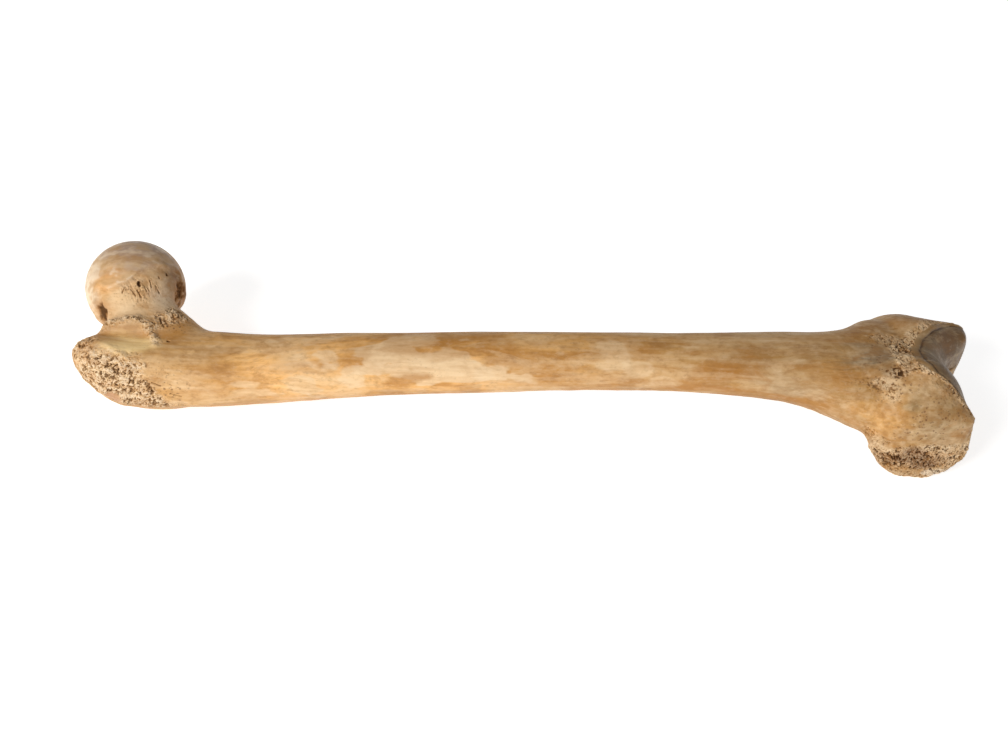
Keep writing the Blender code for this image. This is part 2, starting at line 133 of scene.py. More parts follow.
# The studio, in metres, watts and linear colours
TABLE_RADIUS, TABLE_SIDES = 14.0, 96
TABLE_COLOUR = (0.90, 0.90, 0.90, 1.0)
TABLE_ROUGHNESS, TABLE_SHINE, TABLE_GLOW = 0.9, 0.1, 0.68
LAMP_PLACE = (-0.85, -0.85, 0.80)
LAMP_SIZE, LAMP_WATTS = 0.50, 13.6
LAMP_COLOUR = (1.0, 0.98, 0.95)
PLAIN_WHITE = (1.0, 1.0, 1.0, 1.0)
SKY_STRENGTH = 0.29

# Where the joint surface of the knee ends in front: sideways from the notch, angle up from level
KNEE_MARGIN = (
    (-38.0, -20.0),
    (-34.0, 15.0),
    (-31.0, 33.0),
    (-28.0, 47.0),
    (-25.0, 68.0),
    (-22.0, 98.0),
    (-16.5, 107.0),
    (-2.0, 109.0),
    (8.0, 100.0),
    (15.0, 85.0),
    (20.0, 73.0),
    (24.0, 58.0),
    (27.0, 36.0),
    (32.0, 15.0),
    (38.0, -12.0),
)
KNEE_BACK_ANGLE = -138.0
KNEE_SIDE = 36.0


def tone(red, green, blue):
    """A linear colour from 0 to 255 screen values."""
    return tuple(((c / 255 + 0.055) / 1.055) ** 2.4 for c in (red, green, blue))


# Bleached bone, then bone stained ever browner, then the tones of single places
CREAM = tone(238, 208, 166)
PALE = tone(226, 190, 142)
GOLD = tone(234, 178, 106)
TAN = tone(206, 158, 96)
UMBER = tone(182, 138, 80)
RUST = tone(176, 118, 48)
BROWN = tone(118, 78, 42)
GREY = tone(160, 140, 112)
MAUVE = tone(176, 148, 128)
SLATE = tone(124, 104, 78)
OLIVE = tone(112, 104, 74)
CHALK = tone(234, 212, 182)
# painted shade: the dark tone laid over the knee's joint surface
KNEECAP_SHADE = tone(112, 88, 60)
RED = tone(168, 112, 78)
ORANGE = tone(216, 156, 86)
HONEY = tone(255, 222, 158)
BEIGE = tone(166, 138, 98)
AMBER = tone(252, 194, 118)
TOBACCO = tone(152, 104, 52)
DARK = tone(52, 29, 14)

# The tone of the bone along its length
BASE_TONES = (
    (-226.0, PALE),
    (-180.0, TAN),
    (-125.0, GOLD),
    (-30.0, GOLD),
    (50.0, TAN),
    (110.0, UMBER),
    (226.0, UMBER),
)

# Patches of another tone: tone, centre, radii, strength, raggedness, softness
PATCHES = (
    # bleached areas on the front and outer side of the shaft
    (PALE, (-110.0, -30.6, 32.6), (9.0, 13.0, 6.5), 0.85, 0.32, 0.14),
    (CREAM, (-57.0, -27.0, 45.5), (28.0, 13.0, 8.5), 0.80, 0.42, 0.14),
    (CREAM, (-18.0, -29.6, 43.5), (15.0, 12.0, 5.2), 0.80, 0.42, 0.16),
    (CREAM, (-96.0, -26.5, 42.5), (7.0, 8.0, 3.5), 0.55, 0.50, 0.25),
    (CREAM, (38.0, -24.4, 52.0), (9.0, 9.0, 4.6), 0.38, 0.40, 0.25),
    (CREAM, (49.0, -28.0, 47.0), (9.0, 9.0, 5.0), 0.42, 0.40, 0.20),
    (CREAM, (58.0, -29.5, 41.0), (9.0, 8.0, 4.0), 0.36, 0.40, 0.25),
    (PALE, (20.0, -24.0, 50.0), (12.0, 8.0, 4.0), 0.35, 0.50, 0.50),
    (PALE, (89.0, -20.0, 54.5), (13.0, 9.0, 4.5), 0.35, 0.45, 0.60),
    (CREAM, (-136.0, -29.7, 31.3), (15.0, 9.0, 3.2), 0.70, 0.85, 0.30),
    (CREAM, (-126.0, -30.0, 26.0), (16.0, 9.0, 3.0), 0.60, 0.90, 0.30),
    (PALE, (-130.0, -12.5, 43.2), (11.0, 6.0, 3.5), 0.55, 0.40, 0.60),
    (CREAM, (-117.4, -22.5, 42.5), (10.0, 6.0, 3.5), 0.40, 0.45, 0.50),
    (CREAM, (-88.0, -28.0, 39.0), (6.0, 8.0, 3.5), 0.60, 0.50, 0.25),
    (GREY, (127.0, -32.0, 47.5), (21.0, 10.0, 8.0), 0.45, 0.35, 0.90),
    (PALE, (122.0, -31.0, 49.5), (15.0, 9.0, 4.0), 0.35, 0.45, 0.70),
    # bleached areas on the sides that the photograph doesn't show
    (CREAM, (-70.0, -2.0, 22.0), (30.0, 12.0, 9.0), 0.70, 0.40, 0.20),
    (CREAM, (20.0, -1.0, 36.0), (34.0, 9.0, 12.0), 0.60, 0.42, 0.22),
    (PALE, (100.0, 3.0, 34.0), (26.0, 12.0, 10.0), 0.60, 0.40, 0.40),
    (PALE, (-10.0, -22.0, 22.0), (40.0, 10.0, 7.0), 0.55, 0.45, 0.40),
    # warm stains
    (RUST, (-19.7, -24.0, 51.1), (11.0, 8.0, 4.5), 0.60, 0.50, 0.70),
    (RUST, (-60.5, -30.5, 38.8), (9.0, 9.0, 3.4), 0.65, 0.55, 0.60),
    (RUST, (-87.0, -22.0, 46.5), (8.0, 8.0, 5.0), 0.40, 0.55, 0.80),
    (RUST, (84.0, -29.0, 48.0), (14.0, 12.0, 7.0), 0.45, 0.40, 0.60),
    (RUST, (99.0, -27.0, 51.5), (10.0, 9.0, 5.0), 0.35, 0.40, 0.60),
    (TAN, (-150.0, -30.0, 23.0), (36.0, 9.0, 7.0), 0.55, 0.40, 0.80),
    (RUST, (-156.0, -28.0, 33.0), (18.0, 9.0, 6.0), 0.35, 0.45, 0.80),
    (RUST, (-40.0, -16.0, 52.5), (34.0, 9.0, 4.0), 0.45, 0.45, 0.60),
    (RUST, (14.0, -29.0, 43.0), (24.0, 10.0, 6.0), 0.35, 0.50, 0.90),
    (AMBER, (-131.0, -23.5, 39.5), (17.0, 9.0, 7.0), 0.75, 0.35, 0.90),
    (TAN, (140.0, -30.0, 50.0), (12.0, 10.0, 7.0), 0.50, 0.35, 0.80),
    (GOLD, (170.0, -47.0, 41.0), (14.0, 10.0, 11.0), 0.60, 0.40, 0.90),
    (RUST, (173.0, -46.0, 47.0), (8.0, 8.0, 7.0), 0.40, 0.50, 0.90),
    (RUST, (165.0, -4.0, 55.0), (13.0, 8.0, 5.0), 0.35, 0.50, 0.90),
    # the trochanter
    # painted highlight: the trochanter's glossy hollow gets a bright honey tone, partly its own pale colour,
    # partly painted light
    (HONEY, (-194.0, -15.5, 43.3), (15.0, 8.0, 6.0), 0.95, 0.15, 0.60),
    (RUST, (-183.0, -13.0, 42.5), (8.0, 6.0, 4.0), 0.45, 0.30, 0.90),
    (RED, (-202.5, -28.5, 20.0), (6.5, 6.0, 5.5), 0.80, 0.25, 0.60),
    # the head and neck
    (PALE, (-200.0, 26.0, 50.0), (28.0, 26.0, 22.0), 0.60, 0.20, 0.60),
    (MAUVE, (-198.0, 36.0, 60.0), (25.0, 20.0, 14.0), 1.00, 0.25, 0.70),
    (CHALK, (-222.0, 24.0, 44.0), (13.0, 18.0, 16.0), 0.90, 0.15, 0.90),
    (ORANGE, (-208.0, 16.5, 54.0), (9.0, 7.0, 7.0), 0.75, 0.35, 0.60),
    # painted shade: a dark brown patch on the side of the head that faces away from the light
    (BROWN, (-175.0, 32.0, 47.0), (8.5, 16.0, 16.0), 0.90, 0.20, 0.90),
    (CREAM, (-199.0, 4.5, 46.0), (13.0, 9.0, 9.0), 0.75, 0.20, 0.80),
    (CHALK, (-184.0, 15.0, 46.5), (8.0, 9.0, 9.0), 0.70, 0.20, 0.90),
    (RUST, (-179.0, -1.0, 44.0), (9.0, 6.0, 5.0), 0.40, 0.45, 0.90),
    (TAN, (-211.5, 10.5, 49.0), (4.0, 4.0, 5.0), 0.75, 0.20, 0.80),
    # painted shade: these two warm patches lie under the undercuts and warm the shade painted in them
    (RUST, (-213.6, 8.2, 41.0), (6.0, 5.5, 9.5), 0.85, 0.20, 0.80),
    (RUST, (-176.5, 24.5, 41.0), (6.0, 8.5, 10.0), 0.70, 0.20, 0.80),
    # the knee end
    (GREY, (163.0, -23.0, 57.0), (15.0, 9.0, 6.0), 0.85, 0.40, 0.80),
    (SLATE, (167.0, -25.0, 57.5), (8.0, 5.0, 5.0), 0.45, 0.55, 0.90),
    (CREAM, (167.0, -37.0, 53.0), (12.0, 5.0, 4.0), 0.50, 0.60, 0.70),
    (CREAM, (170.5, -43.5, 49.0), (6.0, 5.0, 4.0), 0.55, 0.60, 0.70),
    (CREAM, (176.0, -8.0, 56.0), (9.0, 9.0, 5.0), 0.40, 0.60, 0.80),
    (OLIVE, (179.4, -47.7, 48.5), (4.5, 5.0, 3.8), 0.50, 0.40, 0.90),
    (BEIGE, (195.0, -50.0, 40.0), (17.0, 12.0, 15.0), 0.75, 0.30, 0.90),
    (CREAM, (167.0, -49.5, 23.0), (6.0, 6.0, 9.0), 0.50, 0.55, 0.80),
)

# The worn side of the outer condyle, as PATCHES
ERODED_PATCHES = (
    (UMBER, (186.0, -52.5, 12.0), (17.0, 9.0, 11.0), 0.85, 0.25, 0.80),
    (RUST, (188.0, -53.8, 18.0), (18.0, 8.0, 9.0), 0.60, 0.25, 0.80),
    (BROWN, (182.0, -53.8, 20.0), (7.0, 8.0, 5.0), 0.80, 0.45, 0.60),
    (BROWN, (195.0, -53.8, 16.0), (10.0, 8.0, 5.0), 0.80, 0.45, 0.60),
    (BROWN, (175.0, -52.0, 17.0), (6.0, 8.0, 5.0), 0.50, 0.50, 0.70),
    (CHALK, (199.0, -52.4, 7.6), (8.0, 5.0, 2.8), 0.85, 0.40, 0.35),
)

# Open spongy bone, where the thin wall has worn away: centre, radii, strength, raggedness
SPONGY_PATCHES = (
    ((-204.5, -25.0, 31.5), (19.0, 14.0, 16.5), 1.0, 0.20),
    ((-190.0, -29.5, 25.0), (12.0, 9.0, 12.0), 0.90, 0.35),
    ((-214.0, -13.0, 37.0), (8.0, 9.0, 8.0), 0.90, 0.20),
    ((-214.5, -22.5, 28.0), (9.0, 9.0, 11.0), 1.0, 0.15),
    ((-188.0, -30.0, 19.0), (17.0, 8.0, 7.0), 0.90, 0.25),
    ((-176.5, 5.5, 43.3), (6.5, 5.0, 4.5), 0.75, 0.35),
    ((-182.0, 1.0, 44.8), (5.0, 5.0, 3.5), 0.55, 0.45),
    ((188.0, -53.5, 18.5), (16.0, 8.0, 7.5), 0.95, 0.35),
    ((200.0, -52.5, 13.5), (9.0, 8.0, 8.0), 0.85, 0.35),
    ((171.0, -50.5, 16.0), (7.0, 7.0, 8.0), 0.65, 0.45),
    ((172.5, -34.0, 57.0), (5.0, 4.0, 3.5), 0.85, 0.35),
    ((174.0, -11.0, 56.0), (10.0, 9.0, 5.0), 0.62, 0.45),
    ((166.0, -36.5, 54.0), (11.0, 5.0, 4.0), 0.62, 0.45),
    ((170.5, -43.0, 50.0), (6.0, 5.0, 4.0), 0.60, 0.45),
    ((165.5, -48.5, 25.0), (6.0, 6.0, 9.0), 0.45, 0.55),
    ((188.0, 26.0, 20.0), (13.0, 8.0, 12.0), 0.55, 0.50),
    ((-151.0, -1.0, 9.0), (9.0, 9.0, 7.0), 0.50, 0.45),
    ((-205.0, -3.0, 9.0), (13.0, 12.0, 7.0), 0.55, 0.45),
)

# Raised rough lines where the capsule and muscles were fixed, and whose thin wall is worn through:
# points, half width, height
OPEN_ROUGH_LINES = (
    (
        (
            (-209.7, -3.6, 41.9),
            (-206.4, -2.3, 44.1),
            (-200.8, -1.4, 46.0),
            (-193.6, -0.5, 46.5),
            (-189.6, -2.3, 46.0),
            (-187.5, -4.9, 44.7),
            (-184.3, -9.0, 42.3),
            (-182.0, -14.0, 42.0),
        ),
        2.4,
        1.5,
    ),
    (((-184.0, 1.0, 44.9), (-179.0, 3.5, 44.0), (-174.5, 6.5, 42.6)), 3.0, 1.1),
    (((-174.5, 6.5, 42.6), (-166.0, 11.5, 38.0), (-156.0, 13.5, 31.0)), 2.2, 0.5),
    (
        ((-207.0, -27.5, 21.0), (-196.0, -30.0, 18.5), (-184.5, -30.0, 17.0), (-172.0, -31.0, 19.0)),
        2.6,
        0.7,
    ),
    (
        ((183.0, -33.0, 59.5), (190.0, -39.5, 55.5), (197.0, -41.0, 51.5), (202.5, -42.5, 47.0)),
        4.0,
        0.55,
    ),
)

# Rough lines whose wall is whole, as OPEN_ROUGH_LINES
WHOLE_ROUGH_LINES = (
    (((-166.0, -31.0, 19.5), (-154.0, -30.5, 20.0), (-144.0, -29.5, 20.0)), 2.4, 0.6),
    (
        ((-217.0, -14.0, 41.0), (-208.0, -15.5, 43.8), (-199.0, -20.5, 43.2), (-191.0, -25.0, 40.0)),
        1.6,
        0.7,
    ),
    (
        ((-212.7, 13.1, 51.9), (-215.6, 13.6, 49.5), (-216.5, 12.9, 46.8), (-217.2, 12.0, 43.5)),
        1.1,
        1.0,
    ),
)

# Smooth hollows: centre, radii, depth
HOLLOWS = (
    ((-195.0, -13.0, 45.0), (12.0, 6.5, 6.0), 0.8),
    ((-215.0, 2.0, 38.0), (6.0, 9.0, 9.0), 2.0),
    ((-177.5, 21.0, 39.5), (5.0, 6.0, 10.0), 1.0),
    ((165.0, -24.0, 58.0), (12.0, 7.0, 6.0), 0.5),
)

# Hollows under the rim of the head, darkened with painted shade: centre, radii, depth
UNDERCUTS = (
    ((-213.6, 8.2, 41.0), (4.3, 4.0, 7.5), 1.1),
    ((-175.8, 25.5, 42.0), (4.6, 7.5, 8.5), 1.15),
)

# Slits and holes that the photograph shows: from, to, half width, depth
MARKS = (
    ((-194.3, 15.2, 56.4), (-194.0, 14.4, 55.8), 0.85, 1.5),
    ((-201.0, 12.3, 55.1), (-201.9, 10.6, 52.9), 0.34, 0.55),
    ((-197.8, 12.0, 54.3), (-195.6, 10.5, 51.4), 0.34, 0.60),
    ((-195.0, 12.2, 53.5), (-193.0, 10.5, 50.3), 0.36, 0.65),
    ((-191.9, 14.7, 54.7), (-190.6, 13.3, 52.3), 0.34, 0.55),
    ((-189.6, 17.5, 55.6), (-188.6, 15.5, 53.1), 0.38, 0.6),
    ((-187.0, 17.0, 53.1), (-185.4, 15.6, 49.5), 0.36, 0.5),
    ((-183.1, 25.8, 54.2), (-182.8, 25.0, 53.8), 0.50, 0.8),
    ((-185.8, 21.3, 55.1), (-185.5, 20.8, 54.8), 0.38, 0.6),
    ((-176.9, -11.6, 42.4), (-176.6, -11.9, 42.3), 0.50, 1.0),
    ((-183.1, 2.1, 44.9), (-181.8, -1.5, 44.5), 0.50, 0.9),
    ((-178.6, 6.6, 43.8), (-177.4, 5.5, 43.5), 0.45, 0.8),
    ((-182.5, -29.5, 32.0), (-178.5, -30.0, 30.5), 0.34, 0.6),
    ((-174.0, -30.5, 26.5), (-169.0, -30.5, 25.0), 0.32, 0.5),
    ((-181.0, -31.0, 22.5), (-178.0, -31.0, 21.5), 0.36, 0.6),
    ((174.3, -34.0, 57.6), (172.8, -35.0, 57.0), 0.75, 1.5),
    ((171.6, -32.0, 57.9), (170.6, -32.3, 57.8), 0.55, 1.0),
    ((172.6, -36.2, 56.0), (171.6, -36.0, 56.0), 0.50, 0.9),
    ((168.0, -32.8, 57.3), (167.2, -33.2, 56.9), 0.40, 0.7),
    ((-126.0, -17.5, 16.5), (-120.0, -17.5, 17.5), 0.80, 1.8),
)

# Fibrous bone: centre, radii, the way its lines run, how wide they are, how deep. The first are
# the slits on the front of the neck, which are fine enough to need halved faces.
FIBROUS = (
    ((-193.0, 14.0, 53.0), (12.0, 6.0, 7.0), (0.50, -0.45, -0.74), 1.3, 0.52),
    ((-194.0, 9.0, 49.0), (16.0, 10.0, 12.0), (0.20, -0.55, -0.80), 1.5, 0.22),
    ((-173.0, -29.5, 26.0), (17.0, 9.0, 12.0), (1.0, -0.05, -0.20), 1.2, 0.45),
    ((-140.0, -30.0, 26.0), (26.0, 9.0, 7.0), (1.0, 0.0, 0.10), 1.3, 0.25),
    ((152.0, -28.0, 54.0), (18.0, 16.0, 9.0), (1.0, -0.15, 0.15), 1.2, 0.30),
    ((163.0, -44.0, 33.0), (14.0, 12.0, 14.0), (0.75, -0.60, -0.25), 1.3, 0.25),
)

# Smooth places in the midst of spongy bone: centre, radii
SMOOTH_FACETS = (((-202.5, -28.5, 20.0), (5.0, 5.0, 4.5)),)

# Low swellings on the joints' borders: centre, radius, height
LIPS = (
    ((220.7, 6.1, 44.5), 5.0, 1.3),
    ((208.8, -48.0, 40.0), 5.0, 1.3),
    ((206.0, -51.0, 26.0), 5.0, 0.8),
)

# Fields of small nutrient holes: centre, radii, strength
HOLE_FIELDS = (
    ((191.0, -50.0, 36.0), (20.0, 14.0, 20.0), 0.9),
    ((170.0, -34.0, 54.0), (18.0, 14.0, 10.0), 1.0),
    ((174.0, -12.0, 56.0), (14.0, 13.0, 8.0), 0.9),
    ((190.0, 27.0, 30.0), (18.0, 10.0, 18.0), 0.8),
    ((178.0, -12.0, 12.0), (14.0, 24.0, 10.0), 0.8),
    ((-193.0, 13.0, 53.0), (13.0, 7.0, 8.0), 0.8),
    ((-196.0, 8.0, 28.0), (13.0, 8.0, 12.0), 0.8),
    ((-176.0, -30.0, 28.0), (15.0, 9.0, 13.0), 0.8),
    ((-180.0, 1.0, 43.5), (12.0, 9.0, 6.0), 0.9),
)


def hashed(lattice, seed):
    """A repeatable number from 0 to 1 for each cell of a lattice of whole numbers."""
    x, y, z = (lattice[:, k].astype(np.uint32) for k in range(3))
    mixed = x * np.uint32(374761393) + y * np.uint32(668265263) + z * np.uint32(2246822519)
    mixed = mixed + np.uint32(seed * 3266489 + 977)
    mixed = (mixed ^ (mixed >> np.uint32(13))) * np.uint32(1274126177)
    mixed = (mixed ^ (mixed >> np.uint32(15))) * np.uint32(2654435761)
    return (mixed ^ (mixed >> np.uint32(16))) / 2.0**32


def noise(points, size, seed):
    """Smooth noise from -1 to 1, with one blob for each `size` in mm."""
    scaled = points / np.asarray(size, float)
    base = np.floor(scaled)
    t = scaled - base
    t = t * t * t * (t * (t * 6 - 15) + 10)
    base = base.astype(np.int64)
    total = np.zeros(len(points))
    for corner in itertools.product((0, 1), repeat=3):
        weight = np.prod(np.where(corner, t, 1 - t), axis=1)
        total += weight * hashed(base + np.array(corner), seed)
    return 2 * total - 1


def layered(points, size, seed, layers):
    """Noise upon finer noise, from about -1 to 1. Each pattern has a seed of its own."""
    size = np.broadcast_to(np.asarray(size, float), 3)
    total = sum(noise(points, size / 2**k, seed + k) / 2**k for k in range(layers))
    return total / 1.3


def smoothstep(low, high, value):
    """0 at the low value and 1 at the high one, smooth between; low may be the greater."""
    t = np.clip((value - low) / (high - low), 0.0, 1.0)
    return t * t * (3 - 2 * t)


def hill(value, width):
    """1 at 0, falling smoothly on both sides."""
    return np.exp(-((value / width) ** 2))


def reach_from(points, centre, radii):
    """How far each point is from the middle of an ellipsoid, with 1 on its surface."""
    return np.linalg.norm((points - np.array(centre)) / np.array(radii), axis=1)


def patch(points, centre, radii, ragged, seed, soft):
    """1 well inside an ellipsoid and 0 outside it, with a ragged soft edge."""
    mask = np.zeros(len(points))
    reach = reach_from(points, centre, radii)
    near = reach < 1.3 + 2.0 * ragged
    edge = reach[near] + 2.0 * ragged * layered(points[near], EDGE_GRAIN, seed, 5)
    mask[near] = 1 - smoothstep(1 - soft, 1 + soft / 2, edge)
    return mask


def from_line(points, line):
    """How far each point is from a broken line."""
    nearest = np.full(len(points), 1e3)
    for start, end in zip(line, line[1:]):
        start, step = np.array(start), np.array(end) - np.array(start)
        share = np.clip((points - start) @ step / (step @ step), 0, 1)
        nearest = np.minimum(nearest, np.linalg.norm(points - start - share[:, None] * step, axis=1))
    return nearest


def grown_regions():
    """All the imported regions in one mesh, each grown a little so that they overlap."""
    whole = bmesh.new()
    for name in sorted(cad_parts):
        region = bmesh.new()
        region.from_mesh(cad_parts[name].data)
        bmesh.ops.remove_doubles(region, verts=region.verts, dist=WELD * MM)
        region.normal_update()
        for corner in region.verts:
            corner.co += corner.normal * GROWTH * MM
        grown = bpy.data.meshes.new("grown")
        region.to_mesh(grown)
        region.free()
        whole.from_mesh(grown)
        bpy.data.meshes.remove(grown)
    data = bpy.data.meshes.new("grown_regions")
    whole.to_mesh(data)
    whole.free()
    return data


def redrawn(data):
    """One even, smooth skin over everything in the mesh."""
    item = bpy.data.objects.new("redrawn", data)
    bpy.context.scene.collection.objects.link(item)
    remesh = item.modifiers.new("skin", "REMESH")
    remesh.mode = "VOXEL"
    remesh.voxel_size = VOXEL * MM
    relax = item.modifiers.new("relax", "SMOOTH")
    relax.factor = 0.5
    relax.iterations = SMOOTHING_PASSES
    bpy.context.view_layer.update()
    graph = bpy.context.evaluated_depsgraph_get()
    skin = bpy.data.meshes.new_from_object(item.evaluated_get(graph))
    bpy.data.objects.remove(item)
    return skin


def largest_surface(data):
    """Keeps the closed surface with the most faces."""
    mesh = bmesh.new()
    mesh.from_mesh(data)
    left = set(mesh.faces)
    islands = []
    while left:
        island, growing = [], [left.pop()]
        while growing:
            face = growing.pop()
            island.append(face)
            for edge in face.edges:
                for near in edge.link_faces:
                    if near in left:
                        left.remove(near)
                        growing.append(near)
        islands.append(island)
    islands.sort(key=len)
    for scrap in islands[:-1]:
        bmesh.ops.delete(mesh, geom=scrap, context="FACES")
    mesh.to_mesh(data)
    mesh.free()
    return data


def coordinates(data):
    """The mesh's corners in millimetres, one row each."""
    points = np.zeros(len(data.vertices) * 3, np.float32)
    data.vertices.foreach_get("co", points)
    return points.reshape(-1, 3).astype(float) / MM


def normals(data):
    """The way that the surface faces at each corner."""
    found = np.zeros(len(data.vertices) * 3, np.float32)
    data.vertex_normals.foreach_get("vector", found)
    return found.reshape(-1, 3).astype(float)


def refined(data):
    """Halves the faces where spongy bone, a joint's crusty edge or a slit needs finer relief."""
    points = coordinates(data)
    head_edge, knee_edge = head_margin(points), knee_margin(points)
    open_bone = spongy(points, head_edge, knee_edge)
    wanted = np.maximum(open_bone, 0.8 * knee_crust(points, knee_edge)) > FINE_SHARE
    for start, end, half_width, _ in MARKS:
        wanted |= from_line(points, (start, end)) < MARK_MARGIN + 2.0 * half_width
    neck_slits, slit_radii = FIBROUS[0][:2]
    wanted |= reach_from(points, neck_slits, slit_radii) < 1.1
    mesh = bmesh.new()
    mesh.from_mesh(data)
    chosen = [e for e in mesh.edges if wanted[e.verts[0].index] or wanted[e.verts[1].index]]
    bmesh.ops.subdivide_edges(mesh, edges=chosen, cuts=1, use_grid_fill=True, smooth=0.0)
    bmesh.ops.triangulate(mesh, faces=[face for face in mesh.faces if len(face.verts) > 4])
    mesh.to_mesh(data)
    mesh.free()
    return data


def head_margin(points):
    """How far inside the ball's joint surface each point is; below 0 is off it."""
    low, high = (np.array(corner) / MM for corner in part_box("head"))
    centre = (low[0] + HEAD_RADIUS, high[1] - HEAD_RADIUS, high[2] - HEAD_RADIUS * HEAD_OVALITY)
    away = points - np.array(centre)
    wave = 1.5 * noise(points, 13.0, 11) + 0.7 * noise(points, 5.0, 12)
    in_front = smoothstep(0.1, 0.5, away[:, 2] / HEAD_RADIUS)
    edge = HEAD_EDGE + HEAD_EDGE_RISE * in_front * smoothstep(3.0, 13.0, np.abs(away[:, 0] + 2.0))
    off_ball = np.clip(np.linalg.norm(away, axis=1) - HEAD_RADIUS - 4.0, 0, None)
    return away @ NECK_DIRECTION - edge + wave - 4.0 * off_ball


def knee_place(points):
    """Where each point is round the knee: sideways from the notch, and the angle up from level."""
    side = points[:, 1] - NOTCH_Y
    along = points[:, 0] - KNEE_AXIS_X - side * KNEE_LEAN
    angle = np.degrees(np.arctan2(points[:, 2] - KNEE_AXIS_Z, along))
    return side, np.where(angle < 135.0, angle, angle - 360.0)


def knee_margin(points):
    """How far inside the knee's joint surface each point is; below 0 is off it."""
    side, angle = knee_place(points)
    limits = np.array(KNEE_MARGIN)
    limit = np.interp(side, limits[:, 0], limits[:, 1])
    wave = 1.0 * noise(points, 11.0, 21) + 0.5 * noise(points, 4.0, 22)
    top = np.radians(limit - angle) * KNEE_REACH
    back = np.radians(angle - KNEE_BACK_ANGLE) * KNEE_REACH
    flank = KNEE_SIDE - np.abs(side)
    notch = np.where(angle < 5.0, np.abs(side) - NOTCH_HALF_WIDTH, 20.0)
    margin = np.minimum(np.minimum(top, back), np.minimum(flank, notch)) + wave
    return np.where(points[:, 0] > KNEE_START_X, margin, OFF_JOINT)


def spongy(points, head_edge, knee_edge):
    """How far the thin wall is gone, from 0 to 1."""
    total = np.zeros(len(points))
    for number, (centre, radii, strength, ragged) in enumerate(SPONGY_PATCHES):
        mask = patch(points, centre, radii, ragged, 200 + 7 * number, 0.35)
        total = np.maximum(total, strength * mask)
    for line, width, height in OPEN_ROUGH_LINES:
        total = np.maximum(total, 0.5 * height * hill(from_line(points, line), width))
    for centre, radii in SMOOTH_FACETS:
        total *= 1 - 0.9 * patch(points, centre, radii, 0.15, 290, 0.3)
    return total * (1 - smoothstep(-1.0, 1.0, np.maximum(head_edge, knee_edge)))


def knee_crust(points, knee_edge):
    """The raised crusty border just outside the knee's joint surface."""
    width = 4.6 + 2.0 * noise(points, 8.0, 31) + 1.2 * noise(points, 3.0, 32)
    return smoothstep(-width - 3.0, -width, knee_edge) * (1 - smoothstep(-0.6, 0.5, knee_edge))


def mark_depths(points):
    """How deep each point lies in one of the photograph's slits and holes."""
    tree = KDTree(len(points))
    for index, point in enumerate(points):
        tree.insert(point, index)
    tree.balance()
    depth = np.zeros(len(points))
    for start, end, half_width, deep in MARKS:
        line = [np.array(tree.find(Vector(place))[0]) for place in (start, end)]
        reach = np.linalg.norm(line[1] - line[0]) + 2.5 * half_width
        near = np.array([found[1] for found in tree.find_range(Vector(line[0]), reach)])
        away = from_line(points[near], line) * (1 + 0.6 * noise(points[near], 1.1, 73))
        here = deep * (1 - smoothstep(0.3 * half_width, 1.4 * half_width, away))
        depth[near] = np.maximum(depth[near], here)
    return depth


def turned(points, ahead):
    """The points seen along one direction, so that noise can be drawn out along it."""
    first = np.array(ahead) / np.linalg.norm(ahead)
    second = np.cross(first, (0.13, 0.31, 0.94))
    second /= np.linalg.norm(second)
    return points @ np.stack([first, second, np.cross(first, second)], axis=1)


def fibres(points, joint):
    """How deep each point lies in a slit between the fibres of the thin wall."""
    depth = np.zeros(len(points))
    for number, (centre, radii, ahead, width, deep) in enumerate(FIBROUS):
        place = patch(points, centre, radii, 0.15, 500 + 9 * number, 0.8)
        near = place > 0.01
        lines = layered(turned(points[near], ahead), (4.0 * width, width, width), 560 + number, 3)
        depth[near] = np.maximum(depth[near], deep * place[near] * smoothstep(0.02, 0.55, lines))
    return depth * (1 - 0.8 * joint)


def web_of_bone(points):
    """The fine web of open spongy bone: above 0 in its pits, below 0 on its struts."""
    bends = [noise(points, 2.0, 401 + k) + 0.5 * noise(points, 0.9, 411 + k) for k in range(3)]
    bent = points + 0.8 * np.stack(bends, axis=1)
    return layered(turned(bent, WEB_GRAIN), WEB_SIZE, 42, 3)


def band(edge, measures):
    """A raised band that follows a joint surface's edge."""
    height, inside, half_width = measures
    return height * hill(edge - inside, half_width)


def depths(points, joint, open_bone, crust):
    """How deep each point lies in a pit, a slit, a hole or an undercut."""
    coarse = web_of_bone(points)
    large_pits = smoothstep(0.06, 0.46, coarse)
    fine_pits = smoothstep(0.05, 0.50, layered(points, 0.85, 47, 2))
    hollow = open_bone * (LARGE_PIT * large_pits + FINE_PIT * fine_pits)
    crust_pits = smoothstep(0.12, 0.50, coarse)
    hollow += crust * (CRUST_LARGE_PIT * crust_pits + CRUST_FINE_PIT * fine_pits)
    hollow = np.maximum(hollow, np.maximum(mark_depths(points), 0.75 * fibres(points, joint)))
    for number, (centre, radii, deep) in enumerate(UNDERCUTS):
        reach = reach_from(points, centre, radii)
        reach += 0.40 * layered(points, 2.4, 770 + 7 * number, 3)
        hollow = np.maximum(hollow, deep * (1 - smoothstep(0.35, 1.15, reach)))
    return hollow


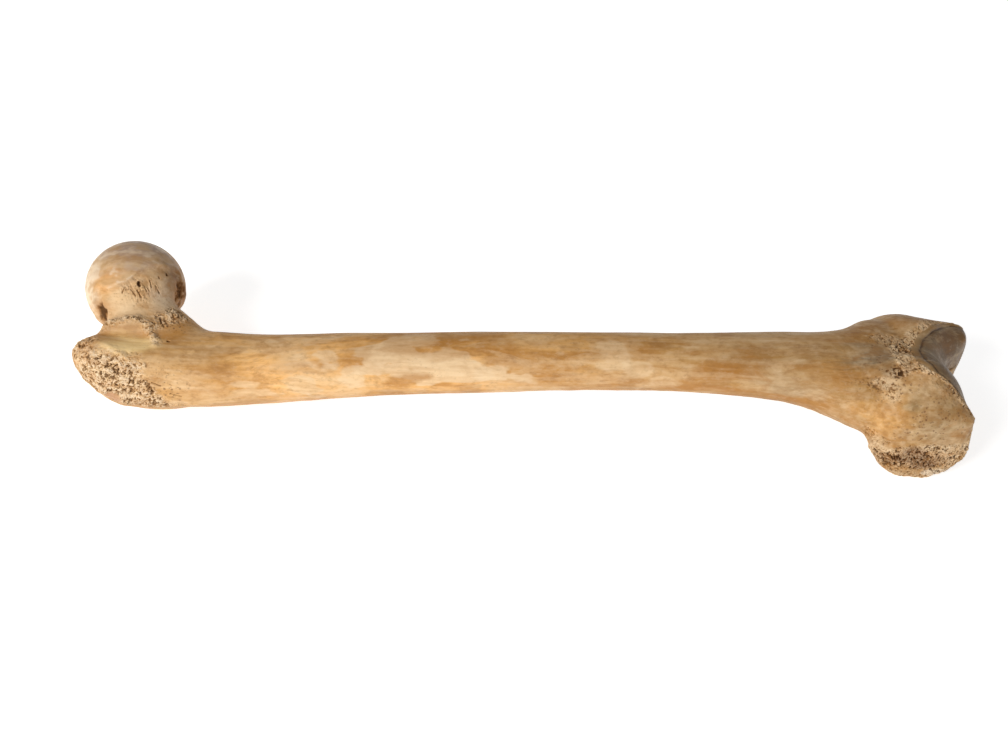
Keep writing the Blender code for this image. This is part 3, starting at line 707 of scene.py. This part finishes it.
def swellings(points, facing, joint, open_bone, crust, head_edge, knee_edge):
    """How far each point stands up from the plain bone; below 0 in broad hollows and grooves."""
    rugged = layered(points, 4.5, 51, 4)
    raised = open_bone * (0.85 * rugged + 0.15)
    raised += crust * (0.45 + 0.60 * layered(points, 3.2, 52, 3))
    for line, width, height in OPEN_ROUGH_LINES + WHOLE_ROUGH_LINES:
        raised += height * hill(from_line(points, line), width) * (0.75 + 0.6 * rugged)
    for centre, radii, deep in HOLLOWS:
        raised -= deep * hill(reach_from(points, centre, radii), 0.75)
    for centre, radius, height in LIPS:
        raised += height * hill(np.linalg.norm(points - np.array(centre), axis=1), 0.6 * radius)
    # each joint surface ends in a low lip, and the head's has a groove outside it
    knee_only = points[:, 0] > KNEE_START_X
    raised += band(head_edge, HEAD_LIP) - band(head_edge, HEAD_GROOVE)
    raised += knee_only * band(knee_edge, KNEE_LIP)
    raised -= knee_only * KNEE_LINE_DEPTH * inner_line(points, knee_edge)
    # faint lengthwise ripples on the shaft's wall, coarser behind where muscles were fixed
    ends = smoothstep(-180.0, -150.0, points[:, 0]) * smoothstep(190.0, 150.0, points[:, 0])
    wall = (1 - joint) * ends
    behind = wall * smoothstep(0.45, 0.95, -facing[:, 2])
    raised += wall * FINE_RIPPLES[0] * layered(points, FINE_RIPPLES[1], 61, 3)
    raised += wall * BROAD_RIPPLES[0] * layered(points, BROAD_RIPPLES[1], 63, 2)
    raised += behind * BACK_RIPPLES[0] * layered(points, BACK_RIPPLES[1], 66, 3)
    return raised


def inner_line(points, knee_edge):
    """The fine line that runs inside the border of the kneecap's surface."""
    _, angle = knee_place(points)
    inset = 4.4 + 0.5 * noise(points, 9.0, 24)
    return hill(knee_edge - inset, 0.8) * smoothstep(28.0, 45.0, angle)


def painted(points, facing, open_bone, crust, joint, knee_edge):
    """The broad tone at each point, painted shade on the underside and the head's dark side included, and a
    mask of bleached places and painted highlight.
    """
    stops = [stop[0] for stop in BASE_TONES]
    drift = points[:, 0] + 18.0 * layered(points, (40.0, 18.0, 18.0), 81, 3)
    channels = [np.interp(drift, stops, [stop[1][k] for stop in BASE_TONES]) for k in range(3)]
    colour = np.stack(channels, axis=1)

    def lay(over, mask):
        nonlocal colour
        mask = mask[:, None]
        colour = colour * (1 - mask) + np.array(over) * mask

    bleached_and_highlight = np.zeros(len(points))
    at_knee = smoothstep(135.0, 165.0, points[:, 0])
    broad = layered(points, (46.0, 9.0, 9.0), 84, 5) * (1 - 0.6 * at_knee)
    lay(RUST, 0.50 * smoothstep(0.05, 0.45, broad))
    lay(PALE, 0.40 * smoothstep(0.05, 0.50, -broad))
    lengthwise, even = layered(points, (15.0, 6.0, 6.0), 85, 5), layered(points, 8.0, 86, 5)
    clouds = lengthwise * (1 - at_knee) + even * at_knee
    lay(TOBACCO, 0.34 * smoothstep(0.12, 0.36, clouds))
    lay(CREAM, 0.20 * smoothstep(0.15, 0.40, -clouds))
    for number, (over, centre, radii, strength, ragged, soft) in enumerate(PATCHES):
        mask = strength * patch(points, centre, radii, ragged, 300 + 11 * number, soft)
        lay(over, mask)
        # bleached places and the painted highlight of the HONEY patch go into one mask
        if over in (CREAM, HONEY):
            bleached_and_highlight = np.maximum(bleached_and_highlight, mask)
    threads = layered(points, (18.0, 1.8, 1.8), 88, 4) * (1 - at_knee)
    lay(RUST, 0.16 * smoothstep(0.1, 0.7, threads) * (1 - joint))
    lay(CREAM, 0.16 * smoothstep(0.1, 0.7, -threads) * (1 - joint))

    knee_joint = joint * (points[:, 0] > KNEE_START_X)
    veins = layered(points, (7.0, 5.0, 7.0), 90, 5)
    lay(CHALK, 0.55 * (joint - knee_joint) * smoothstep(0.05, 0.40, veins))
    lay(UMBER, 0.50 * (joint - knee_joint) * smoothstep(0.05, 0.40, -veins))
    grain = layered(points, 2.4, 92, 3)
    lay(TOBACCO, 0.28 * at_knee * smoothstep(0.0, 0.5, grain))
    lay(CREAM, 0.24 * at_knee * smoothstep(0.0, 0.5, -grain))
    # painted shade: the knee's joint surface is laid dark brown, standing in for the shade on the kneecap's
    # surface
    lay(KNEECAP_SHADE, 0.95 * knee_joint)
    lay(UMBER, 0.55 * knee_joint * smoothstep(5.0, 3.4, knee_edge))
    lay(BROWN, 0.35 * knee_joint * smoothstep(-0.1, 0.6, layered(points, 14.0, 91, 4)))
    # painted highlight: grey blotches on the knee's joint surface stand in for its sheen
    lay(GREY, 0.26 * knee_joint * smoothstep(-0.1, 0.7, layered(points, 10.0, 94, 4)))
    lay(DARK, 0.75 * knee_joint * inner_line(points, knee_edge))
    lay(CREAM, 0.75 * crust * smoothstep(-0.5, 0.3, layered(points, 5.0, 97, 4)))
    near_hip = smoothstep(100.0, -100.0, points[:, 0])
    lay(PALE, 0.60 * open_bone * near_hip)
    web = smoothstep(0.05, -0.35, web_of_bone(points))
    lay(CHALK, (0.20 + 0.45 * near_hip) * np.maximum(open_bone, 0.7 * crust) * web)
    for number, (over, centre, radii, strength, ragged, soft) in enumerate(ERODED_PATCHES):
        lay(over, strength * patch(points, centre, radii, ragged, 900 + 11 * number, soft))
    # painted shade: the colour darkens where the surface faces down, on the bone's underside
    lay(DARK, 0.28 * smoothstep(0.2, -0.9, facing[:, 2]))
    return colour, bleached_and_highlight


def store(data, name, values):
    """Keeps a number or a colour for each point of the mesh."""
    layer = data.attributes.new(name, "FLOAT_COLOR" if values.ndim == 2 else "FLOAT", "POINT")
    if values.ndim == 2:
        values = np.concatenate([values, np.ones((len(values), 1))], axis=1)
        layer.data.foreach_set("color", values.astype(np.float32).ravel())
    else:
        layer.data.foreach_set("value", values.astype(np.float32))


def dressed_skin():
    """The whole bone's skin with its relief, and the masks that its material reads."""
    data = refined(largest_surface(redrawn(grown_regions())))
    points, facing = coordinates(data), normals(data)
    head_edge, knee_edge = head_margin(points), knee_margin(points)
    open_bone = spongy(points, head_edge, knee_edge)
    crust = knee_crust(points, knee_edge)
    joint = smoothstep(-0.4, 0.8, np.maximum(head_edge, knee_edge))
    hollow = depths(points, joint, open_bone, crust)
    raised = swellings(points, facing, joint, open_bone, crust, head_edge, knee_edge) - hollow
    moved = points + facing * (raised - SHRINK_BACK)[:, None]
    low, high = (np.array(corner) / MM for corner in CAD_BOX)
    moved = np.clip(moved, low, high)
    data.vertices.foreach_set("co", (moved * MM).astype(np.float32).ravel())
    colour, bleached_and_highlight = painted(points, facing, open_bone, crust, joint, knee_edge)
    store(data, "tone", colour)
    store(data, "bleached_and_highlight", bleached_and_highlight)
    store(data, "hollow", np.clip(hollow / DARK_DEPTH, 0, 1))
    dotted = np.zeros(len(points))
    for number, (centre, radii, strength) in enumerate(HOLE_FIELDS):
        dotted = np.maximum(dotted, strength * patch(points, centre, radii, 0.2, 700 + number, 0.9))
    store(data, "dotted", dotted * (1 - joint))
    store(data, "joint", joint)
    store(data, "spongy", np.clip(open_bone + 0.6 * crust, 0, 1))
    data.update()
    data.shade_smooth()
    data.name = "femur"
    return data


class Nodes:
    """A short way to lay out a shader."""

    def __init__(self, material):
        self.tree = material.node_tree
        self.shader = self.tree.nodes["Principled BSDF"]

    def put(self, socket, value):
        """Links an output to the socket, or sets its value."""
        if isinstance(value, bpy.types.NodeSocket):
            self.tree.links.new(value, socket)
        else:
            socket.default_value = value

    def add(self, kind, settings=None, **inputs):
        """A node with its settings and inputs; an underscore stands for a space in an input's name."""
        node = self.tree.nodes.new(kind)
        for key, value in (settings or {}).items():
            setattr(node, key, value)
        for key, value in inputs.items():
            self.put(node.inputs[key.replace("_", " ")], value)
        return node

    def attribute(self, name, output="Fac"):
        return self.add("ShaderNodeAttribute", {"attribute_name": name}).outputs[output]

    def stretched(self, scale):
        """Places on the bone, scaled along each axis; below 1 draws a pattern out along it."""
        place = self.add("ShaderNodeTexCoord").outputs["Object"]
        return self.add("ShaderNodeMapping", Vector=place, Scale=scale).outputs["Vector"]

    def noise(self, scale, stretch=(1.0, 1.0, 1.0), detail=4.0, roughness=0.55, distortion=0.0):
        node = self.add(
            "ShaderNodeTexNoise",
            Vector=self.stretched(stretch),
            Scale=scale,
            Detail=detail,
            Roughness=roughness,
            Distortion=distortion,
        )
        return node.outputs["Fac"]

    def cells(self, scale, stretch=(1.0, 1.0, 1.0)):
        node = self.add("ShaderNodeTexVoronoi", Vector=self.stretched(stretch), Scale=scale)
        return node.outputs["Distance"]

    def ramp(self, value, low, high, start=0.0, end=1.0):
        """A smooth step from the start to the end, as the value goes from low to high."""
        node = self.add("ShaderNodeMapRange", {"interpolation_type": "SMOOTHSTEP"})
        numbers = {"From Min": low, "From Max": high, "To Min": start, "To Max": end}
        for key, number in numbers.items():
            node.inputs[key].default_value = number
        self.put(node.inputs["Value"], value)
        return node.outputs["Result"]

    def math(self, operation, first, second=0.0):
        node = self.add("ShaderNodeMath", {"operation": operation})
        self.put(node.inputs[0], first)
        self.put(node.inputs[1], second)
        return node.outputs["Value"]

    def mix(self, share, first, second):
        """The first colour with a share of the second over it."""
        node = self.add("ShaderNodeMix", {"data_type": "RGBA"})
        self.put(node.inputs[0], share)
        for socket, value in ((node.inputs[6], first), (node.inputs[7], second)):
            self.put(socket, value if isinstance(value, bpy.types.NodeSocket) else (*value, 1.0))
        return node.outputs[2]


def bone_material():
    """Dry old bone: tone by region, lengthwise streaks, mottling, fine pores, and painted shade that darkens
    hollows.
    """
    material = bpy.data.materials.new("dry_bone")
    material.use_nodes = True
    n = Nodes(material)
    joint, open_share, hollow, dotted, bleached_and_highlight = (
        n.attribute(name) for name in ("joint", "spongy", "hollow", "dotted", "bleached_and_highlight")
    )
    plain = n.math("SUBTRACT", 1.0, n.math("MAXIMUM", joint, open_share))
    colour = n.attribute("tone", "Color")

    def share(value, low, high, strength, where=None):
        """How much of a tone goes on, where a pattern's value lies between low and high."""
        mask = n.math("MULTIPLY", n.ramp(value, low, high), strength)
        return mask if where is None else n.math("MULTIPLY", mask, where)

    streaks = n.noise(150.0, (0.10, 1.0, 1.0), 7.0, 0.62, 0.4)
    fine_streaks = n.noise(620.0, (0.07, 1.0, 1.0), 4.0, 0.6)
    blotches = n.noise(75.0, (0.45, 1.0, 1.0), 8.0, 0.66, 0.8)
    mottling = n.noise(420.0, (0.6, 1.0, 1.0), 6.0, 0.65)

    # bleached places, the painted highlight included, and joint surfaces are spared most stains
    spared = n.math("MAXIMUM", n.math("MULTIPLY", bleached_and_highlight, 0.75), n.math("MULTIPLY", joint, 0.6))
    stained = n.math("SUBTRACT", 1.0, spared)
    streaked = n.math("MULTIPLY", stained, n.math("SUBTRACT", 1.0, n.math("MULTIPLY", dotted, 0.7)))
    colour = n.mix(share(streaks, 0.50, 0.66, 0.46, streaked), colour, RUST)
    colour = n.mix(share(streaks, 0.48, 0.34, 0.24), colour, CREAM)
    colour = n.mix(share(blotches, 0.51, 0.64, 0.46, stained), colour, RUST)
    colour = n.mix(share(blotches, 0.47, 0.34, 0.28), colour, CREAM)
    colour = n.mix(share(fine_streaks, 0.54, 0.74, 0.26, plain), colour, RUST)
    colour = n.mix(share(mottling, 0.48, 0.72, 0.42, stained), colour, TOBACCO)
    colour = n.mix(share(mottling, 0.50, 0.30, 0.14), colour, CHALK)

    holes = n.ramp(n.cells(430.0), 0.32, 0.18)
    small_holes = n.ramp(n.cells(800.0, (0.6, 1.0, 1.0)), 0.26, 0.14)
    places = n.ramp(n.noise(210.0, (0.8, 1.0, 1.0), 3.0), 0.40, 0.50)
    here = n.math("MULTIPLY", places, dotted)
    specks = n.math("MULTIPLY", n.math("MAXIMUM", holes, small_holes), here)
    faint = n.math("MULTIPLY", n.ramp(n.noise(60.0, (0.4, 1.0, 1.0), 3.0), 0.52, 0.66), plain)
    specks = n.math("MAXIMUM", specks, n.math("MULTIPLY", n.math("MULTIPLY", small_holes, faint), 0.22))
    colour = n.mix(n.math("MULTIPLY", specks, 0.85), colour, BROWN)

    fine_cells = n.cells(1150.0)
    fine_pits = share(fine_cells, 0.44, 0.16, 1.0, open_share)
    colour = n.mix(share(fine_cells, 0.45, 0.75, 0.25, open_share), colour, CHALK)
    colour = n.mix(n.math("MULTIPLY", fine_pits, 0.50), colour, BROWN)
    # painted shade: the colour darkens with the depth of pits, slits and undercuts
    colour = n.mix(n.ramp(hollow, 0.10, 0.55, 0.0, 0.66), colour, BROWN)
    colour = n.mix(n.ramp(hollow, 0.50, 1.00, 0.0, 0.72), colour, DARK)
    n.put(n.shader.inputs["Base Color"], colour)

    worn = n.ramp(n.noise(260.0, (0.3, 1.0, 1.0), 4.0), 0.35, 0.65, 0.50, 0.64)
    roughness = n.math("ADD", worn, n.math("MULTIPLY", n.math("MAXIMUM", open_share, hollow), 0.3))
    n.put(n.shader.inputs["Roughness"], n.math("SUBTRACT", roughness, n.math("MULTIPLY", joint, 0.08)))
    n.put(n.shader.inputs["Specular IOR Level"], n.ramp(hollow, 0.1, 0.6, 0.34, 0.05))

    height = n.math("MULTIPLY", fine_streaks, n.math("MULTIPLY", plain, 0.5))
    height = n.math("ADD", height, n.math("MULTIPLY", mottling, 0.25))
    height = n.math("SUBTRACT", height, n.math("MULTIPLY", fine_pits, 1.2))
    height = n.math("SUBTRACT", height, n.math("MULTIPLY", specks, 1.2))
    bump = n.add("ShaderNodeBump", Strength=0.6, Distance=0.25 * MM, Height=height)
    n.put(n.shader.inputs["Normal"], bump.outputs["Normal"])
    return material


def camera():
    """Looks down on the bone from its front and outer side, as the photograph does."""
    data = bpy.data.cameras.new("camera")
    data.sensor_fit = "HORIZONTAL"
    data.sensor_width = SENSOR
    data.lens = FOCAL_PIXELS * SENSOR / PICTURE[0]
    data.shift_x = (PICTURE[0] / 2 - CENTRE_PIXEL[0]) / PICTURE[0]
    data.shift_y = (CENTRE_PIXEL[1] - PICTURE[1] / 2) / PICTURE[0]
    data.clip_start, data.clip_end = CLIP_NEAR, CLIP_FAR
    ahead = Vector(
        (
            -math.sin(CAMERA_AZIMUTH) * math.cos(CAMERA_ELEVATION),
            math.cos(CAMERA_AZIMUTH) * math.cos(CAMERA_ELEVATION),
            -math.sin(CAMERA_ELEVATION),
        )
    )
    level = Vector((math.cos(CAMERA_AZIMUTH), math.sin(CAMERA_AZIMUTH), 0.0))
    upward = level.cross(ahead)
    right = level * math.cos(CAMERA_ROLL) + upward * math.sin(CAMERA_ROLL)
    above = upward * math.cos(CAMERA_ROLL) - level * math.sin(CAMERA_ROLL)
    item = bpy.data.objects.new("camera", data)
    turn = Matrix((right, above, -ahead)).transposed().to_4x4()
    place = (CAMERA_TARGET - ahead * CAMERA_DISTANCE) * MM
    item.matrix_world = Matrix.Translation(place) @ turn
    bpy.context.scene.collection.objects.link(item)
    bpy.context.scene.camera = item


def table():
    """A plain pale floor that glows a little, so that shadows stay faint. Its far edge shows from low down."""
    mesh = bmesh.new()
    bmesh.ops.create_circle(mesh, cap_ends=True, segments=TABLE_SIDES, radius=TABLE_RADIUS)
    data = bpy.data.meshes.new("table")
    mesh.to_mesh(data)
    mesh.free()
    floor = bpy.data.objects.new("table", data)
    bpy.context.scene.collection.objects.link(floor)
    material = bpy.data.materials.new("pale_table")
    material.use_nodes = True
    shader = material.node_tree.nodes["Principled BSDF"]
    shader.inputs["Base Color"].default_value = TABLE_COLOUR
    shader.inputs["Roughness"].default_value = TABLE_ROUGHNESS
    shader.inputs["Specular IOR Level"].default_value = TABLE_SHINE
    shader.inputs["Emission Color"].default_value = PLAIN_WHITE
    shader.inputs["Emission Strength"].default_value = TABLE_GLOW
    data.materials.append(material)


def lamp():
    """A square lamp to the left of the camera, facing the bone."""
    data = bpy.data.lights.new("left_lamp", "AREA")
    data.shape = "SQUARE"
    data.size = LAMP_SIZE
    data.energy = LAMP_WATTS
    data.color = LAMP_COLOUR
    item = bpy.data.objects.new("left_lamp", data)
    item.location = LAMP_PLACE
    item.rotation_euler = (-Vector(LAMP_PLACE)).to_track_quat("-Z", "Y").to_euler()
    bpy.context.scene.collection.objects.link(item)


def studio():
    """Even light from all round, one lamp, and plain colours."""
    world = bpy.data.worlds.new("studio")
    world.use_nodes = True
    background = world.node_tree.nodes["Background"]
    background.inputs["Color"].default_value = PLAIN_WHITE
    background.inputs["Strength"].default_value = SKY_STRENGTH
    bpy.context.scene.world = world
    lamp()
    bpy.context.scene.view_settings.view_transform = "Standard"


femur = bpy.data.objects.new("femur", dressed_skin())
femur.data.materials.clear()
femur.data.materials.append(bone_material())
bpy.context.scene.collection.objects.link(femur)
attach(femur, "root")
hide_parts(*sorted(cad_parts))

table()
camera()
studio()
